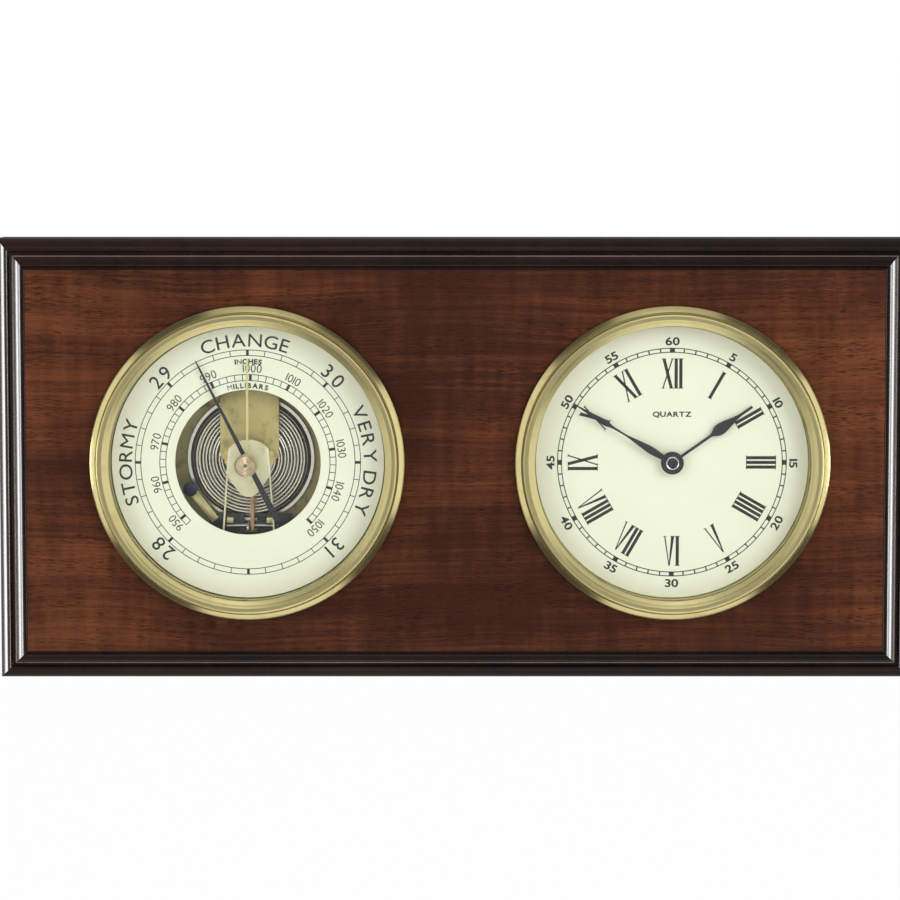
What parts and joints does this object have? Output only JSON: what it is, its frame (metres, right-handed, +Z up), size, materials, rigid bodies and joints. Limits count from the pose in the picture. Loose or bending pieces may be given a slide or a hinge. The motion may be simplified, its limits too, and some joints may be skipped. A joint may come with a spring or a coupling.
{
  "type": "barometer and clock wall plaque",
  "caption": "Wall plaque with an aneroid barometer, open to its mechanism, and a clock side by side in brass bezels, their hands turning.",
  "frame": {"origin": "middle of the flat back face of the plaque", "axes": "+X to the right as seen from the front, the front faces -Y, +Z up; +Y points into the wall"},
  "size_m": [0.306, 0.0353, 0.148],
  "materials": {
    "board_core": "polished mahogany",
    "face_veneer": "polished mahogany",
    "lipping_top": "dark polished wood",
    "lipping_right": "dark polished wood",
    "lipping_bottom": "dark polished wood",
    "lipping_left": "dark polished wood",
    "hanger_plate": "satin",
    "hanger_screw_lower": "satin",
    "hanger_screw_upper": "satin",
    "baro_bezel": "lacquered, pale gold",
    "baro_grip_ring": "matt",
    "baro_glass": "clear",
    "baro_dial": "cream enamel",
    "baro_case": "dull brass",
    "dial_spacer": "moulded",
    "base_plate": "dull brass",
    "aneroid_capsule": "satin",
    "spring_block": "dull brass",
    "bridge": "lacquered, pale gold",
    "bridge_pillar_left": "lacquered, pale gold",
    "bridge_pillar_right": "lacquered, pale gold",
    "bridge_cock": "lacquered, pale gold",
    "hairspring": "satin",
    "rocker_bracket": "black satin",
    "chain": "satin",
    "trim_arm": "lacquered, pale gold",
    "trim_screw": "black satin",
    "clock_bezel": "lacquered, pale gold",
    "clock_grip_ring": "matt",
    "clock_glass": "clear",
    "clock_dial": "cream enamel",
    "clock_case": "dull brass",
    "movement_cover": "moulded",
    "bush_nut": "lacquered, pale gold",
    "movement_body": "moulded",
    "battery": "printed sleeve",
    "contact_left": "satin",
    "contact_right": "satin",
    "pressure_hand": "black satin",
    "arbor": "satin",
    "rocking_shaft": "satin",
    "input_arm": "copper-coloured",
    "output_arm": "satin",
    "main_spring": "dull brass",
    "capsule_post": "satin",
    "set_knob": "lacquered, pale gold",
    "set_washer": "lacquered, pale gold",
    "set_hand": "lacquered, pale gold",
    "calibration_screw": "lacquered, pale gold",
    "minute_hand": "black satin",
    "minute_arbor": "satin",
    "hand_nut": "satin",
    "hour_hand": "black satin",
    "hour_pipe": "lacquered, pale gold",
    "time_set_knob": "moulded"
  },
  "bodies": {
    "plaque": {"board_core": "board_core", "face_veneer": "face_veneer", "lipping_top": "lipping_top", "lipping_right": "lipping_right", "lipping_bottom": "lipping_bottom", "lipping_left": "lipping_left", "hanger_plate": "hanger_plate", "hanger_screw_lower": "hanger_screw_lower", "hanger_screw_upper": "hanger_screw_upper", "baro_bezel": "baro_bezel", "baro_grip_ring": "baro_grip_ring", "baro_glass": "baro_glass", "baro_dial": "baro_dial", "baro_case": "baro_case", "dial_spacer": "dial_spacer", "base_plate": "base_plate", "aneroid_capsule": "aneroid_capsule", "spring_block": "spring_block", "bridge": "bridge", "bridge_pillar_left": "bridge_pillar_left", "bridge_pillar_right": "bridge_pillar_right", "bridge_cock": "bridge_cock", "hairspring": "hairspring", "rocker_bracket": "rocker_bracket", "chain": "chain", "trim_arm": "trim_arm", "trim_screw": "trim_screw", "clock_bezel": "clock_bezel", "clock_grip_ring": "clock_grip_ring", "clock_glass": "clock_glass", "clock_dial": "clock_dial", "clock_case": "clock_case", "movement_cover": "movement_cover", "bush_nut": "bush_nut", "movement_body": "movement_body", "battery": "battery", "contact_left": "contact_left", "contact_right": "contact_right"},
    "pressure_pointer": {"pressure_hand": "pressure_hand", "arbor": "arbor"},
    "rocker": {"rocking_shaft": "rocking_shaft", "input_arm": "input_arm", "output_arm": "output_arm"},
    "spring_leaf": {"main_spring": "main_spring", "capsule_post": "capsule_post"},
    "set_pointer": {"set_knob": "set_knob", "set_washer": "set_washer", "set_hand": "set_hand"},
    "calibration": {"calibration_screw": "calibration_screw"},
    "minute_pointer": {"minute_hand": "minute_hand", "minute_arbor": "minute_arbor", "hand_nut": "hand_nut"},
    "hour_pointer": {"hour_hand": "hour_hand", "hour_pipe": "hour_pipe"},
    "time_setter": {"time_set_knob": "time_set_knob"}
  },
  "joints": [
    {"name": "pressure_hand_turn", "type": "hinge", "parent": "plaque", "child": "pressure_pointer", "pos_m": [-0.06905, -0.0241, -0.0006], "axis": [0, 1, 0], "range_deg": [-104, 160], "stiffness_Nm_per_rad": 0.0005, "deforming": ["hairspring"]},
    {"name": "rocking_shaft_turn", "type": "hinge", "parent": "plaque", "child": "rocker", "pos_m": [-0.06905, -0.0126, -0.0231], "axis": [1, 0, 0], "range_deg": [-12.9, 8.4], "deforming": ["chain"]},
    {"name": "main_spring_flex", "type": "hinge", "parent": "plaque", "child": "spring_leaf", "pos_m": [-0.06905, -0.0142, 0.02875], "axis": [1, 0, 0], "range_deg": [-2.4, 3.6], "deforming": ["aneroid_capsule"]},
    {"name": "set_hand_turn", "type": "hinge", "parent": "plaque", "child": "set_pointer", "pos_m": [-0.06905, -0.026, -0.0006], "axis": [0, 1, 0], "continuous": true},
    {"name": "calibration_screw_turn", "type": "hinge", "parent": "plaque", "child": "calibration", "pos_m": [-0.06905, -0.0007, -0.0006], "axis": [0, 1, 0], "range_deg": [-360, 360]},
    {"name": "minute_hand_turn", "type": "hinge", "parent": "plaque", "child": "minute_pointer", "pos_m": [0.07225, -0.0251, -0.0006], "axis": [0, 1, 0], "continuous": true},
    {"name": "hour_hand_turn", "type": "hinge", "parent": "plaque", "child": "hour_pointer", "pos_m": [0.07225, -0.0241, -0.0006], "axis": [0, 1, 0], "continuous": true},
    {"name": "time_set_turn", "type": "hinge", "parent": "plaque", "child": "time_setter", "pos_m": [0.08185, -0.0047, 0.0084], "axis": [0, 1, 0], "continuous": true}
  ],
  "couplings": [
    {"joint": "rocking_shaft_turn", "follows": "pressure_hand_turn", "ratio": -0.080357},
    {"joint": "main_spring_flex", "follows": "pressure_hand_turn", "ratio": 0.022266},
    {"joint": "hour_hand_turn", "follows": "minute_hand_turn", "ratio": 0.083333},
    {"joint": "time_set_turn", "follows": "minute_hand_turn", "ratio": -0.33333}
  ]
}
